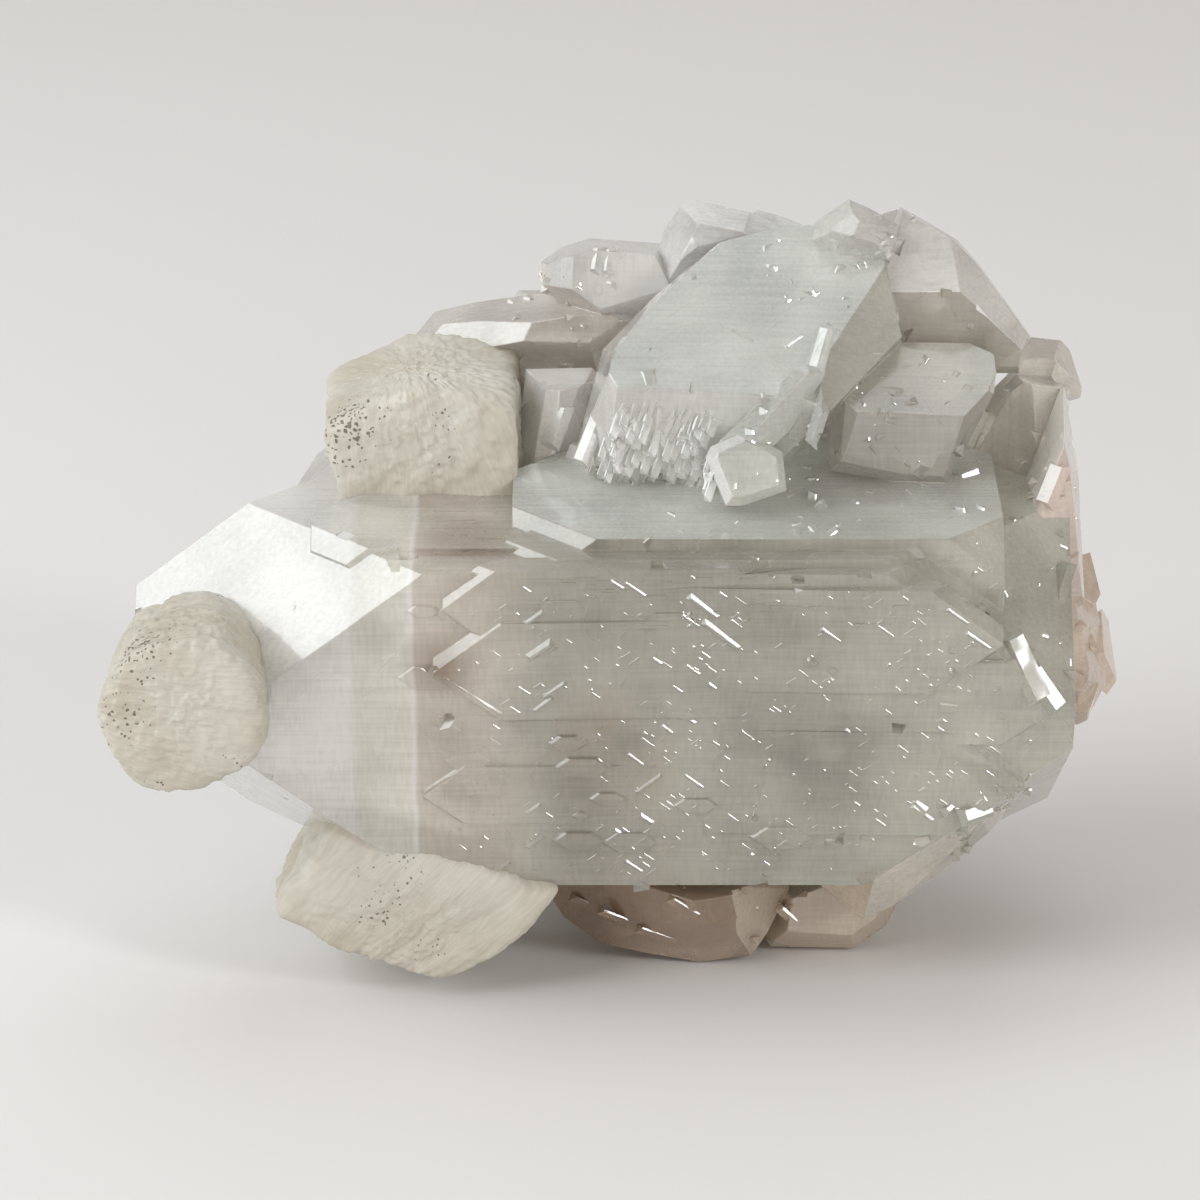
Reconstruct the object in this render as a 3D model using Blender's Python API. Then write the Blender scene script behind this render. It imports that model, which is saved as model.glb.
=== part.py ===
"""An apophyllite specimen: one long double-ended crystal with smaller crystals grown on and under it,
and three stilbite sheaves that grew against them. It stands on a table on its lowest points.

Lengths are in millimetres until a mesh is made. +X runs along the long crystal, -Y is the side that is
shown, +Z is up, and the origin is under the middle of the specimen, on the surface it stands on.
"""

import math
import random

import bmesh
import bpy
from mathutils import Vector, noise

MM = 0.001

# The long crystal sets the scale: a square prism of this side, between two flat ends.
PRISM = 26.7
HALF_LENGTH = 34.6

# Apophyllite's pyramid faces lean this far from the crystal's axis.
PYRAMID_LEAN = math.radians(60.4)

# On a prism face the pyramids' edges rise this much for each length along the axis.
STEP_SLOPE = math.cos(PYRAMID_LEAN) / math.sin(PYRAMID_LEAN) * math.sqrt(2)

# The long crystal is rolled a little forwards, so that its shown side looks slightly down.
ROLL = math.radians(10.0)
SHOWN = Vector((0.0, -math.cos(ROLL), -math.sin(ROLL)))
UPPER = Vector((0.0, -math.sin(ROLL), math.cos(ROLL)))
ALONG = Vector((1.0, 0.0, 0.0))
PRISM_EDGE = Vector((0.0, -15.0, 34.9))
PRISM_CENTRE = PRISM_EDGE - (SHOWN + UPPER) * PRISM / 2

# Broken blocks are laid out as the specimen is looked at: from the shown side, this far above level.
LOOK_DOWN = math.radians(20.0)
LOOK_UP = Vector((0.0, math.sin(LOOK_DOWN), math.cos(LOOK_DOWN)))
LOOK_AWAY = Vector((0.0, math.cos(LOOK_DOWN), -math.sin(LOOK_DOWN)))
MIDDLE = Vector((0.0, 0.0, 27.5))

# Where the smaller crystals started from.
HEART = Vector((5.0, 4.0, 27.0))

# Room left between two minerals, so that their solids never share a face.
SEAM = 0.3
REACH = 200.0


def on_prism(along, back, rise):
    """A point by its place on the long crystal: along it, back from its upper front edge, and above it."""
    return PRISM_EDGE + ALONG * along - SHOWN * back + UPPER * rise


def looked_at(across, up, away):
    """A point by its place in that look: across and up from the middle, and away from the eye."""
    return MIDDLE + ALONG * across + LOOK_UP * up + LOOK_AWAY * away


def axes_of(axis, face):
    """The crystal's own directions: its axis, the normal of one prism face, and that of the next."""
    along = Vector(axis).normalized()
    first = Vector(face)
    first = (first - along * first.dot(along)).normalized()
    return along, first, first.cross(along)


def four(value):
    return (value,) * 4 if isinstance(value, (int, float)) else value


def crystal(centre, axis, face, size, low, high, ends):
    """The planes of one apophyllite crystal, each an outward normal and a point on the plane.

    size is its two widths, along face and across it. low and high say how far from the centre, down and up
    the axis, the pyramid faces cut the prism's edges, as one number or as four, for the edges
    (face, next), (back, next), (back, far) and (face, far). ends is how far the two flat ends are.
    """
    along, first, second = axes_of(axis, face)
    middle = Vector(centre)
    half_first, half_second = size[0] / 2, size[1] / 2
    planes = [
        (first, middle + first * half_first),
        (-first, middle - first * half_first),
        (second, middle + second * half_second),
        (-second, middle - second * half_second),
        (-along, middle - along * ends[0]),
        (along, middle + along * ends[1]),
    ]
    edges = ((1, 1), (-1, 1), (-1, -1), (1, -1))
    for direction, shoulders in ((-1, four(low)), (1, four(high))):
        for (sign_first, sign_second), shoulder in zip(edges, shoulders):
            outward = (first * sign_first + second * sign_second).normalized()
            normal = along * direction * math.cos(PYRAMID_LEAN) + outward * math.sin(PYRAMID_LEAN)
            corner = first * sign_first * half_first + second * sign_second * half_second
            planes.append((normal, middle + corner + along * direction * shoulder))
    return planes


def block(outline, away, facets, lean=(20, 15), thick=12):
    """The planes of a block that shows a convex outline to the look.

    outline runs clockwise, in (across, up) pairs. Each of its sides carries two faces that meet at the
    depth away, and lean inwards by lean[0] degrees towards the eye and by lean[1] behind. facets are the
    faces that look at the eye, each a normal and a looked_at place, and the block ends thick behind away.
    """
    planes = []
    for start, end in zip(outline, outline[1:] + outline[:1]):
        side_across, side_up = end[0] - start[0], end[1] - start[1]
        outward = (LOOK_UP * side_across - ALONG * side_up).normalized()
        place = looked_at(*start, away)
        for towards, angle in ((-LOOK_AWAY, math.radians(lean[0])), (LOOK_AWAY, math.radians(lean[1]))):
            planes.append((outward * math.cos(angle) + towards * math.sin(angle), place))
    for normal, place in facets:
        planes.append((Vector(normal).normalized(), looked_at(*place)))
    planes.append((LOOK_AWAY, looked_at(0, 0, away + thick)))
    return planes


def lump(centre, radii, seed, faces=16, rough=0.22):
    """The planes of a broken lump: faces set round an ellipsoid, each a little nearer to its middle."""
    chance = random.Random(seed)
    middle = Vector(centre)
    planes = []
    golden = math.pi * (3 - math.sqrt(5))
    turn = chance.uniform(0, 2 * math.pi)
    for index in range(faces):
        height = 1 - (2 * index + 1) / faces
        ring = math.sqrt(1 - height * height)
        angle = golden * index + turn
        normal = Vector((ring * math.cos(angle), ring * math.sin(angle), height))
        normal += Vector([chance.uniform(-0.35, 0.35) for _ in range(3)])
        normal.normalize()
        support = math.sqrt(sum((n * r) ** 2 for n, r in zip(normal, radii)))
        planes.append((normal, middle + normal * support * (1 - chance.uniform(0, rough))))
    return planes


def growth_step(tip, down, height, rise, run, deep=2.0):
    """A plate in step with the long crystal's shown face, with its pointed end at the left.

    tip is where the point is along the crystal, down is how far under the upper edge its middle lies. The
    plate stands rise proud behind the point, and sinks to nothing a length run to the right of it. Where
    run is negative the plate is the other way round, with its point at the right.
    """
    sink = rise / run
    axis = ALONG - SHOWN * sink
    face = SHOWN + ALONG * sink
    shoulder = math.copysign(height / 2 / STEP_SLOPE, run)
    centre = on_prism(tip + shoulder, 0, 0) - UPPER * down + SHOWN * (rise - deep / 2)
    ends = (abs(shoulder), abs(run) + 4)
    shoulders = (0, abs(run))
    if run < 0:
        ends, shoulders = ends[::-1], shoulders[::-1]
    return crystal(centre, axis, face, (deep, height), *shoulders, ends)


def hillocks(count, seed):
    """Low pointed plates, scattered over the long crystal's shown face."""
    chance = random.Random(seed)
    plates = {}
    for index in range(count):
        along = chance.uniform(-13, 25)
        down = chance.uniform(2.0, PRISM - 2.0)
        height = chance.uniform(0.7, 2.0)
        length = height * chance.uniform(0.2, 1.2)
        rise = chance.uniform(0.12, 0.3)
        centre = on_prism(along, 0, 0) - UPPER * down + SHOWN * (rise - 0.6)
        plates[f"hillock_{index}"] = crystal(
            centre, ALONG, SHOWN, (1.2, height), length / 2, length / 2, (height + length,) * 2
        )
    return plates


def grown_outwards(place, width, seed):
    """A crystal that grew away from the specimen's heart, a little askew."""
    chance = random.Random(seed)
    axis = Vector(place) - HEART
    axis.normalize()
    axis += Vector([chance.uniform(-0.4, 0.4) for _ in range(3)])
    face = [chance.uniform(-1, 1) for _ in range(3)]
    shoulders = [width * chance.uniform(0.1, 0.5) for _ in range(4)]
    return crystal(
        place, axis, face, (width, width * chance.uniform(0.7, 1)), width, shoulders,
        (width * 1.3, width * chance.uniform(0.6, 0.9)),
    )


def faces_round(*sides):
    """Face normals with their distances, from (x, y, z, distance) entries."""
    return [(Vector(side[:3]).normalized(), side[3]) for side in sides]


# The apophyllite. Each entry is one crystal, or one broken piece, of the grown-together cluster.
CRYSTALS = {
    "long": crystal(
        PRISM_CENTRE, ALONG, SHOWN, (PRISM, PRISM),
        low=(12.6, 6.0, 8.0, 12.6), high=(20.5, 17.0, 16.0, 19.6),
        ends=(HALF_LENGTH, HALF_LENGTH),
    ),
    "ledge": crystal(
        on_prism(12, 10.2, -4.5), ALONG, SHOWN, (15.5, 12),
        low=12.2, high=(13, 14.2, 14, 13), ends=(18.4, 17.2),
    ),
    "broad": block(
        [
            (-2.1, 9.9), (0.2, 18.6), (4.1, 22.6), (8.8, 26.5), (13.7, 28.1), (17.4, 28.1),
            (21.2, 25.1), (22.6, 19.3), (17.1, 12.6), (11.9, 8.4), (7.4, 8.4),
        ],
        -5,
        [
            ((0.02, -0.6, 0.8), (0.4, 15.5, -12.6)),
            ((-0.05, -0.955, -0.29), (0.4, 15.5, -12.6)),
            ((-0.85, -0.5, -0.05), (-0.5, 13.9, -8.6)),
            ((0.36, -0.7, 0.62), (17.6, 19.5, -9.6)),
        ],
        lean=(8, 12),
    ),
    "roof": block(
        [
            (22.5, 29.5), (24.3, 28.5), (26.8, 27.0), (28.6, 25.0), (30.3, 22.6), (32.3, 19.8),
            (31.5, 17.0), (20.6, 17.0), (20.5, 24.5),
        ],
        -2,
        [
            ((-0.1, -0.72, 0.68), (23.7, 22.8, -6.2)),
            ((0.62, -0.5, 0.6), (26.1, 24.8, -5.8)),
            ((-0.1, -0.98, -0.2), (23.7, 22.8, -6.2)),
        ],
        lean=(12, 15),
    ),
    "stout": block(
        [
            (16.5, 18.6), (21.7, 19.3), (27.4, 19.3), (29.1, 18.4), (30.0, 17.1), (29.0, 15.2),
            (28.4, 9.2), (26.5, 8.4), (21.7, 8.7), (16.9, 9.5),
        ],
        -7.6,
        [
            ((0, -1, -0.08), (22.0, 11.7, -10.2)),
            ((0.04, -0.45, 0.9), (21.9, 14.1, -10.5)),
            ((-0.6, -0.8, 0.1), (17.6, 12, -9.8)),
        ],
        lean=(22, 6), thick=14,
    ),
    "tower": block(
        [
            (4.2, 26.0), (4.9, 28.1), (6.0, 29.7), (7.5, 30.3), (9.4, 30.1), (11.3, 29.3), (14.7, 28.5),
            (15.1, 26.4), (9.1, 24.5), (4.5, 22.6),
        ],
        0,
        [
            ((-0.5, -0.8, 0.3), (5.6, 26, -2.4)),
            ((0.1, -0.8, 0.6), (9, 27, -3.0)),
        ],
        lean=(35, 20),
    ),
    "box": block(
        [(-4.5, 23.6), (-4.5, 25.7), (-3.0, 26.8), (-0.8, 27.5), (4.9, 27.1), (6.8, 22.8), (0.0, 20.9)],
        2,
        [
            ((0, -1, 0.1), (0, 25, -1.6)),
            ((-0.7, -0.7, 0.1), (-3, 25, -0.6)),
        ],
        lean=(18, 15),
    ),
    "brown": block(
        [
            (-15.3, 19.0), (-12.4, 22.5), (-9.4, 22.9), (-4.6, 24.0), (1.5, 23.8), (6.1, 21.5),
            (0.0, 16.9), (-13.0, 16.9),
        ],
        5,
        [
            ((0.05, -0.9, 0.42), (-5, 20, -0.5)),
            ((-0.35, -0.75, 0.55), (-11, 21.3, 2.0)),
        ],
        lean=(25, 15),
    ),
    "white": block(
        [(-5.6, 17.4), (-0.6, 17.5), (0.4, 16.5), (-2.2, 9.7), (-6.4, 8.2), (-6.1, 12.7)],
        -1,
        [
            ((-0.25, -0.95, 0.2), (-4.4, 13, -4.4)),
            ((0.45, -0.85, 0.1), (-3.2, 12, -4.4)),
        ],
        lean=(25, 10),
    ),
    "window": block(
        [(7.6, 10.3), (8.0, 11.1), (10.5, 12.2), (13.2, 10.7), (13.5, 7.9), (10.3, 6.8), (9.1, 6.8)],
        -12.9,
        [((0.05, -0.95, 0.33), (10.8, 9.5, -13.8))],
        lean=(35, 2), thick=8,
    ),
    "blade": block(
        [
            (7.4, 9.4), (8.7, 11.6), (14.4, 16.9), (16.1, 17.9), (16.4, 16.4), (13.8, 12.3), (10.1, 8.7),
            (7.6, 8.1),
        ],
        -12.2,
        [((0.35, -0.9, 0.1), (12, 12, -13.3))],
        lean=(40, 4), thick=9,
    ),
    "chip": block(
        [(15.3, 18.4), (15.8, 19.9), (16.3, 19.1), (16.1, 17.9), (15.3, 16.6), (14.6, 17.3)],
        -13,
        [((-0.5, -0.8, 0.3), (15.5, 18.3, -14.4))],
        lean=(30, 5), thick=8,
    ),
    "shard": block(
        [(16.0, 15.6), (16.6, 13.6), (15.7, 10.8), (14.8, 11.6)],
        -12.4,
        [((0.5, -0.85, 0.0), (16.0, 13.2, -13.6))],
        lean=(35, 5), thick=9,
    ),
    "crest": block(
        [(16.0, 28.1), (18.6, 29.9), (20.0, 29.1), (22.3, 28.1), (21.5, 25.1), (17.8, 25.1), (15.7, 26.7)],
        -5,
        [
            ((-0.3, -0.6, 0.75), (18.4, 28, -7.2)),
            ((0.5, -0.75, 0.4), (19.6, 27, -7.4)),
        ],
        lean=(30, 20),
    ),
    "wall": block(
        [
            (29.9, 16.1), (31.4, 17.6), (33.8, 16.9), (35.8, 16.5), (35.3, 9.2), (33.8, 5.4), (30.7, 2.6),
            (26.0, 6.0),
        ],
        2,
        [
            ((-0.55, -0.83, 0.0), (31, 12, -2.4)),
            ((0.5, -0.85, 0.1), (33.4, 12, -3.0)),
        ],
        lean=(10, 10),
    ),
    "rim": block(
        [
            (34.3, 15.8), (35.3, 16.0), (35.5, 12.0), (36.0, 7.2), (36.6, 3.4), (36.4, 0.2), (33.0, -0.8),
            (29.8, 0.8), (30.0, 4.6),
        ],
        -4,
        [
            ((-0.35, -0.93, 0.1), (33.0, 5, -8.4)),
            ((0.5, -0.85, 0.1), (35.0, 8, -7.4)),
            ((0.0, -0.8, -0.6), (33.0, 0.6, -8.0)),
        ],
        lean=(15, 8), thick=14,
    ),
    "right": block(
        [
            (35.3, 3.1), (37.3, 1.9), (37.9, -0.1), (38.3, -2.0), (38.8, -5.2), (38.6, -6.6), (37.8, -8.1),
            (36.4, -9.1), (33.0, -7.7), (31.5, -1.5),
        ],
        4,
        [
            ((0.3, -0.92, 0.25), (36, -1, -0.6)),
            ((0.1, -0.85, -0.5), (36, -6, -1.0)),
        ],
        lean=(25, 12),
    ),
    "under": block(
        [
            (-3.0, -18.0), (13.7, -18.0), (14.5, -22.1), (12.8, -25.5), (11.6, -27.2), (7.6, -27.7),
            (4.0, -27.1), (0.0, -26.3), (-3.0, -24.4), (-4.6, -21.3),
        ],
        4,
        [
            ((-0.45, -0.85, -0.2), (4, -23, -0.4)),
            ((0.25, -0.9, -0.35), (9, -24, -0.6)),
        ],
        lean=(35, 20),
    ),
    "foot": block(
        [
            (12.8, -26.2), (13.1, -21.6), (17.7, -20.0), (22.3, -21.9), (22.8, -23.6), (22.0, -25.1),
            (19.6, -26.8), (13.1, -26.7),
        ],
        6,
        [((0.1, -0.97, 0.2), (17, -24, 3.6))],
        lean=(30, 15),
    ),
    "corner": block(
        [
            (19.6, -18.9), (27.2, -13.6), (31.1, -15.6), (29.4, -17.5), (27.3, -19.3), (22.3, -23.0),
            (19.8, -24.3), (16.4, -21.6),
        ],
        0,
        [
            ((0.3, -0.85, -0.42), (24, -20, -2.4)),
            ((-0.5, -0.8, -0.3), (19.8, -22, -1.6)),
        ],
        lean=(20, 20),
    ),
}

LUMPS = {
    "knob": lump((33.8, 9.0, 43.2), (2.6, 3.2, 1.9), 5, faces=12),
    "right_a": lump((36.6, 5.0, 26.6), (1.6, 3.4, 2.4), 11, faces=12),
    "right_b": lump((37.4, 3.5, 22.2), (1.6, 3.4, 2.4), 12, faces=12),
    "right_c": lump((36.2, 1.5, 19.4), (1.8, 3.0, 2.0), 13, faces=12),
}

# The side away from the look: more crystals of the same kind, and the foot that the specimen leans back on.
REAR = {
    "rear_long": crystal(
        (5.0, 13.5, 24.0), (1, 0.1, 0.06), (0, 1, 0.25), (15, 17),
        low=11, high=14, ends=(19, 21),
    ),
    "rear_tall": crystal(
        (19.0, 13.0, 38.5), (0.2, 0.12, 0.97), (0.5, 1, 0), (15, 16),
        low=8, high=7, ends=(12, 10.5),
    ),
    "rear_side": crystal(
        (25.5, 10.0, 28.0), (0.3, 0.2, 0.9), (1, 0.3, 0), (11, 14),
        low=9, high=8, ends=(13, 12),
    ),
    "rear_left": crystal(
        (-10.0, 12.0, 34.0), (0.8, -0.2, 0.5), (0.2, 1, 0.1), (12, 12),
        low=9, high=7, ends=(12, 9),
    ),
    "rear_foot": crystal(
        (6.0, 14.5, 7.0), (0.2, 0.15, 1), (0.3, 1, 0), (13, 15),
        low=8, high=6, ends=(12, 9),
    ),
} | {
    f"rear_{index}": grown_outwards(place, width, index)
    for index, (place, width) in enumerate([
        ((-17, 11, 24), 9), ((-5, 19, 28), 10), ((6, 19, 37), 9), ((15, 20, 29), 11), ((24, 16, 38), 9),
        ((28, 14, 24), 9), ((-3, 16, 39), 9), ((18, 17, 17), 9), ((-7, 15, 17), 8), ((12, 12, 49), 7),
        ((21, 13, 47), 8), ((-2, 17, 6), 8), ((15, 14, 5), 9), ((31, 8, 17), 7), ((-12, 6, 13), 8),
    ])
}

# Plates of later growth on the shown face, and the ledges along its upper edge.
STEPS = {
    "step_upper": growth_step(-11.3, 2.6, 6.2, 0.5, 17),
    "step_lower": growth_step(-12.1, 7.8, 8.2, 0.7, 20),
    "step_foot": growth_step(-13.0, 18.6, 5.0, 0.3, 12),
    "step_right": growth_step(29.0, 5.4, 8.6, 0.6, -22),
    "step_corner": growth_step(33.6, 10.6, 7.0, 0.45, -16),
    "step_right_low": growth_step(31.2, 17.6, 9.0, 0.35, -18),
    "ledge_a": crystal(
        on_prism(8, 4.0, -1.6), ALONG, SHOWN, (6.0, 4.4), low=11, high=12.4, ends=(15, 17),
    ),
    "ledge_b": crystal(
        on_prism(11.6, 7.6, -1.0), ALONG, SHOWN, (11.6, 3.2), low=10.4, high=9, ends=(14, 15),
    ),
    "ledge_left": crystal(
        on_prism(-9, 7.6, -1.0), ALONG, SHOWN, (9, 2.8), low=7.6, high=9, ends=(12, 15),
    ),
} | hillocks(24, 4)

# The stilbite. Each sheaf is a bundle of plates about an axis, in a rounded form that faces bound.
STILBITES = {
    "stilbite_left": {
        "centre": (-29.9, -13.4, 25.3), "axis": (-1, -0.2, 0.1), "sharpness": 9, "plates": 9, "seed": 1,
        "faces": faces_round(
            (-0.1, 0, 1, 5.9), (0.75, 0, 0.66, 6.2), (1, 0, 0, 6.3), (-1, 0, 0, 6.2), (-0.7, 0, 0.7, 6.0),
            (-0.75, 0, -0.66, 6.2), (0, 0, -1, 6.0), (0.6, 0, -0.8, 6.0), (0, -1, 0.1, 5.4), (0, 1, 0, 6.5),
        ),
    },
    "stilbite_upper": {
        "centre": (-13.1, 2.0, 40.7), "axis": (-0.25, -0.15, 1), "sharpness": 14, "plates": 8, "seed": 2,
        "faces": faces_round(
            (1, 0, 0.05, 7.4), (-0.97, 0, -0.24, 7.2), (-0.41, -0.1, 0.9, 5.0), (0.2, -0.1, 0.97, 5.2),
            (0, 0, -1, 6.5), (0, -1, 0.1, 6.0), (0, 1, 0, 6.4),
        ),
    },
    "stilbite_lower": {
        "centre": (-14.4, -6.5, 5.0), "axis": (-0.55, -0.1, -0.8), "sharpness": 14, "plates": 12, "seed": 3,
        "faces": faces_round(
            (-0.6, -0.1, -0.8, 5.6), (-0.35, -0.3, -0.9, 5.7), (0.55, -0.1, -0.83, 7.0),
            (0.85, 0, -0.52, 7.7), (-0.92, 0, 0.39, 9.9), (0.4, 0, 0.9, 9.0), (0, -1, 0.1, 5.4),
            (0, 1, 0, 6.5),
        ),
    },
}

ALL_CRYSTALS = CRYSTALS | LUMPS | REAR | STEPS

# The crystals that a stilbite sheaf leans on.
TOUCHED = ("long", "ledge", "ledge_left", "white", "brown", "under", "rear_left", "rear_long", "rear_14")


def split_by_planes(bm, planes, grow=0.0):
    """Fills bm with the convex solid that lies behind every plane, each plane moved out by grow."""
    bmesh.ops.create_cube(bm, size=2 * REACH * MM)
    for normal, point in planes:
        geometry = bm.verts[:] + bm.edges[:] + bm.faces[:]
        cut = bmesh.ops.bisect_plane(
            bm,
            geom=geometry,
            plane_co=(point + normal * grow) * MM,
            plane_no=normal,
            clear_outer=True,
            dist=1e-7,
        )
        rim = [item for item in cut["geom_cut"] if isinstance(item, bmesh.types.BMEdge)]
        if rim:
            bmesh.ops.edgenet_fill(bm, edges=rim)


def sheaf(bm, centre, axis, faces, sharpness, plates, seed, columns=36, rows=20):
    """Fills bm with a rounded bundle of plates.

    In each direction from the centre the surface lies where the high power mean of all face distances
    puts it, which rounds every edge. The plates' rims stand out as waves in the turn about the axis, and a
    slow noise moves everything a little.
    """
    along, first, second = axes_of(axis, (0.3, -1, 0.2))
    drift = Vector((seed * 7.3, seed * 1.7, seed * 3.1))
    rings = []
    for row in range(rows + 1):
        polar = math.pi * row / rows
        ring = []
        for column in range(columns if 0 < row < rows else 1):
            turn = 2 * math.pi * column / columns
            across = first * math.cos(turn) + second * math.sin(turn)
            way = along * math.cos(polar) + across * math.sin(polar)
            total = sum(max(way.dot(normal) / distance, 0.0) ** sharpness for normal, distance in faces)
            bend = noise.noise(way * 1.5 + drift) * 2
            wave = abs(math.sin(turn * plates / 2 + bend)) * math.sin(polar)
            slow = 0.05 * noise.noise(way * 2.2 + drift) + 0.03 * noise.noise(way * 6 - drift)
            radius = total ** (-1 / sharpness) * (0.96 + slow + 0.05 * wave)
            ring.append(bm.verts.new((Vector(centre) + way * radius) * MM))
        rings.append(ring)
    for upper, lower in zip(rings, rings[1:]):
        for column in range(columns):
            after = (column + 1) % columns
            corners = [
                upper[column % len(upper)], lower[column % len(lower)],
                lower[after % len(lower)], upper[after % len(upper)],
            ]
            bm.faces.new(dict.fromkeys(corners))


def clear_scene():
    for old in list(bpy.data.objects):
        bpy.data.objects.remove(old)


def mineral(name, colour, roughness, transmission):
    """A Principled material in the mineral's own colour."""
    material = bpy.data.materials.new(name)
    material.use_nodes = True
    shader = material.node_tree.nodes["Principled BSDF"]
    shader.inputs["Base Color"].default_value = (*colour, 1.0)
    shader.inputs["Roughness"].default_value = roughness
    shader.inputs["Metallic"].default_value = 0.0
    shader.inputs["Transmission Weight"].default_value = transmission
    shader.inputs["IOR"].default_value = 1.535
    return material


def object_of(name, mesh_maker, material=None):
    """A new object whose mesh is what mesh_maker leaves in an empty bmesh."""
    bm = bmesh.new()
    mesh_maker(bm)
    bmesh.ops.recalc_face_normals(bm, faces=bm.faces)
    mesh = bpy.data.meshes.new(name)
    bm.to_mesh(mesh)
    bm.free()
    made = bpy.data.objects.new(name, mesh)
    bpy.context.scene.collection.objects.link(made)
    if material:
        mesh.materials.append(material)
    return made


def helper(made):
    """Marks an object as a cutter or as something that is joined to another, and not shown by itself."""
    made.hide_render = True
    made.display_type = "WIRE"
    return made


def gather(name, pieces, grow=0.0):
    """A collection of hidden helpers, one for each crystal in pieces, each grown by grow."""
    group = bpy.data.collections.new(name)
    bpy.context.scene.collection.children.link(group)
    for piece_name, planes in pieces.items():
        made = helper(object_of(
            f"{name}_{piece_name}", lambda bm, planes=planes: split_by_planes(bm, planes, grow)
        ))
        bpy.context.scene.collection.objects.unlink(made)
        group.objects.link(made)
    return group


def join_or_cut(target, operation, others):
    """A Boolean on target with one object, or with every object of a collection."""
    step = target.modifiers.new(operation.lower(), "BOOLEAN")
    step.operation = operation
    step.solver = "EXACT"
    if isinstance(others, bpy.types.Collection):
        step.operand_type = "COLLECTION"
        step.collection = others
    else:
        step.object = others


def table_box():
    """Everything under the surface that the specimen stands on."""
    def fill(bm):
        bmesh.ops.create_cube(bm, size=REACH * MM)
        bmesh.ops.translate(bm, verts=bm.verts, vec=(0, 0, -REACH / 2 * MM))
    return helper(object_of("table", fill))


def stand_on_origin(everything):
    """Hangs all objects on one empty, and moves it so that the shown ones stand centred on the origin."""
    specimen = bpy.data.objects.new("specimen", None)
    bpy.context.scene.collection.objects.link(specimen)
    graph = bpy.context.evaluated_depsgraph_get()
    corners = [
        Vector(corner)
        for made in everything if not made.hide_render
        for corner in made.evaluated_get(graph).bound_box
    ]
    low = Vector([min(corner[i] for corner in corners) for i in range(3)])
    high = Vector([max(corner[i] for corner in corners) for i in range(3)])
    for made in everything:
        made.parent = specimen
    specimen.location = -Vector(((low.x + high.x) / 2, (low.y + high.y) / 2, low.z))


def main():
    clear_scene()
    table = table_box()
    clear = mineral("apophyllite", (0.80, 0.86, 0.82), 0.08, 0.9)
    cream = mineral("stilbite", (0.80, 0.77, 0.69), 0.45, 0.1)
    grown_together = {name: planes for name, planes in ALL_CRYSTALS.items() if name != "long"}
    cluster = object_of("apophyllite_cluster", lambda bm: split_by_planes(bm, CRYSTALS["long"]), clear)
    join_or_cut(cluster, "UNION", gather("grown_together", grown_together))
    join_or_cut(cluster, "DIFFERENCE", table)
    walls = {name: ALL_CRYSTALS[name] for name in TOUCHED}
    make_room = gather("make_room", walls, SEAM)
    for name, form in STILBITES.items():
        bundle = object_of(name, lambda bm, form=form: sheaf(bm, **form), cream)
        join_or_cut(bundle, "DIFFERENCE", make_room)
        join_or_cut(bundle, "DIFFERENCE", table)
    stand_on_origin(list(bpy.data.objects))


main()
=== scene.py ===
"""An apophyllite specimen with stilbite sheaves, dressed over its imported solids, on a pale floor."""

import math

import bmesh
import bpy
import numpy as np
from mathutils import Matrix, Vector
from mathutils.bvhtree import BVHTree


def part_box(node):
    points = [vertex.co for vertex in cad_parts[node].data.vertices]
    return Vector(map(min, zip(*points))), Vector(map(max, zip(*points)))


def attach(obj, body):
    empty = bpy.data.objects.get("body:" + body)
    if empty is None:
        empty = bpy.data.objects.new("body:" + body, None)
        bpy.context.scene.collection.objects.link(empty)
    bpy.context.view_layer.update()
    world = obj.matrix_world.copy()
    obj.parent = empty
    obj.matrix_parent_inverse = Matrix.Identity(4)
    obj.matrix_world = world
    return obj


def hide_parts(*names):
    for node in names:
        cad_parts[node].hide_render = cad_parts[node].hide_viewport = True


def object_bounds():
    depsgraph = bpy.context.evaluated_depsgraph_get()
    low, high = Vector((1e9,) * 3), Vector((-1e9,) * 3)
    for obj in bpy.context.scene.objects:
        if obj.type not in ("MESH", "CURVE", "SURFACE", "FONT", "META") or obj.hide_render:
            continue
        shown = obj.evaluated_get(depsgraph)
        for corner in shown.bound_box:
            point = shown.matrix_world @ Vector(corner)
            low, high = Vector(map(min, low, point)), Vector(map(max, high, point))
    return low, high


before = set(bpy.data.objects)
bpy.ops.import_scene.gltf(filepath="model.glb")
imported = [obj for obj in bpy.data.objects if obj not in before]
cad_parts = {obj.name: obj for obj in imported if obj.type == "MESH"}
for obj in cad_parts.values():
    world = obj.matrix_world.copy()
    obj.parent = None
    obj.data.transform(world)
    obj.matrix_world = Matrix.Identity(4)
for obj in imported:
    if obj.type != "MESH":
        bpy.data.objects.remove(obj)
solid_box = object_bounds()

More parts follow.
